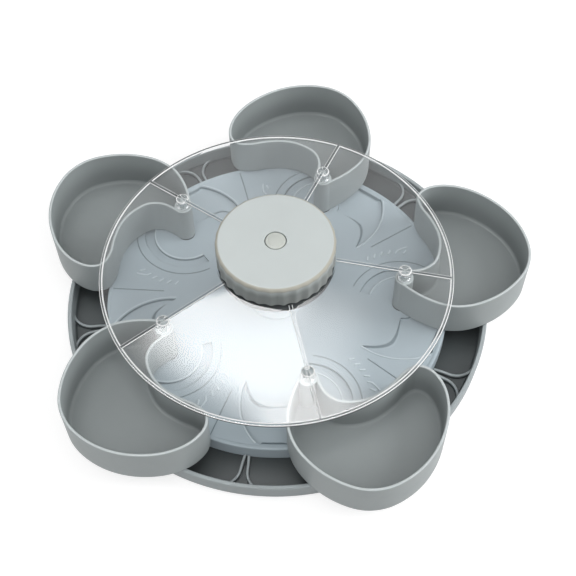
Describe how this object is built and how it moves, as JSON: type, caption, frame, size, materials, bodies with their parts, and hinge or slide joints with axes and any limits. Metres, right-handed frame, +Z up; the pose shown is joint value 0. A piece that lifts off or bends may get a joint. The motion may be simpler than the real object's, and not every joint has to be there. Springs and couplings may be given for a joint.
{
  "type": "rotating snack tray",
  "caption": "Round tray whose bean-shaped boxes swing out together from under a clear lid when the ribbed knob on top is turned.",
  "frame": {"origin": "on the tray's turning axis, at the level of the surface that it stands on", "axes": "+Z up along the knob's axis; +X to the right as seen from the side that faces the picture's camera, which is -Y"},
  "size_m": [0.343, 0.3458, 0.0837],
  "materials": {
    "tray_grey": "satin moulded",
    "deck_grey": "satin moulded",
    "box_grey": "satin moulded",
    "knob_grey": "satin moulded",
    "cap_grey": "smooth moulded",
    "collar_dark": "matt moulded",
    "lid_clear": "clear polished",
    "gear_natural": "natural moulded",
    "bush_black": "smooth moulded",
    "screw_steel": "zinc plated",
    "pad_rubber": "matt"
  },
  "bodies": {
    "tray": {"base_tray": "tray_grey", "deck": "deck_grey", "centre_post": "deck_grey", "hub_collar": "collar_dark", "lid": "lid_clear", "centre_pad": "pad_rubber", "pivot_bush_1": "bush_black", "pivot_bush_2": "bush_black", "pivot_bush_3": "bush_black", "pivot_bush_4": "bush_black", "pivot_bush_5": "bush_black", "foot_pad_1": "pad_rubber", "foot_pad_2": "pad_rubber", "foot_pad_3": "pad_rubber", "foot_pad_4": "pad_rubber", "foot_pad_5": "pad_rubber"},
    "knob_drive": {"knob": "knob_grey", "knob_cap": "cap_grey", "knob_screw": "screw_steel", "drive_shaft": "gear_natural", "sun_gear": "gear_natural"},
    "box_1": {"petal_1": "box_grey", "petal_gear_1": "gear_natural"},
    "box_2": {"petal_2": "box_grey", "petal_gear_2": "gear_natural"},
    "box_3": {"petal_3": "box_grey", "petal_gear_3": "gear_natural"},
    "box_4": {"petal_4": "box_grey", "petal_gear_4": "gear_natural"},
    "box_5": {"petal_5": "box_grey", "petal_gear_5": "gear_natural"}
  },
  "joints": [
    {"name": "knob_turn", "type": "hinge", "parent": "tray", "child": "knob_drive", "pos_m": [0, 0, 0.07], "axis": [0, 0, 1], "range_deg": [-90, 0]},
    {"name": "box_swing_1", "type": "hinge", "parent": "tray", "child": "box_1", "pos_m": [0.03612, 0.08112, 0.0165], "axis": [0, 0, 1], "range_deg": [0, 75]},
    {"name": "box_swing_2", "type": "hinge", "parent": "tray", "child": "box_2", "pos_m": [-0.06599, 0.05942, 0.0165], "axis": [0, 0, 1], "range_deg": [0, 75]},
    {"name": "box_swing_3", "type": "hinge", "parent": "tray", "child": "box_3", "pos_m": [-0.0769, -0.0444, 0.0165], "axis": [0, 0, 1], "range_deg": [0, 75]},
    {"name": "box_swing_4", "type": "hinge", "parent": "tray", "child": "box_4", "pos_m": [0.01846, -0.08686, 0.0165], "axis": [0, 0, 1], "range_deg": [0, 75]},
    {"name": "box_swing_5", "type": "hinge", "parent": "tray", "child": "box_5", "pos_m": [0.08831, -0.00928, 0.0165], "axis": [0, 0, 1], "range_deg": [0, 75]}
  ],
  "couplings": [
    {"joint": "box_swing_1", "follows": "knob_turn", "ratio": -0.83333},
    {"joint": "box_swing_2", "follows": "knob_turn", "ratio": -0.83333},
    {"joint": "box_swing_3", "follows": "knob_turn", "ratio": -0.83333},
    {"joint": "box_swing_4", "follows": "knob_turn", "ratio": -0.83333},
    {"joint": "box_swing_5", "follows": "knob_turn", "ratio": -0.83333}
  ]
}
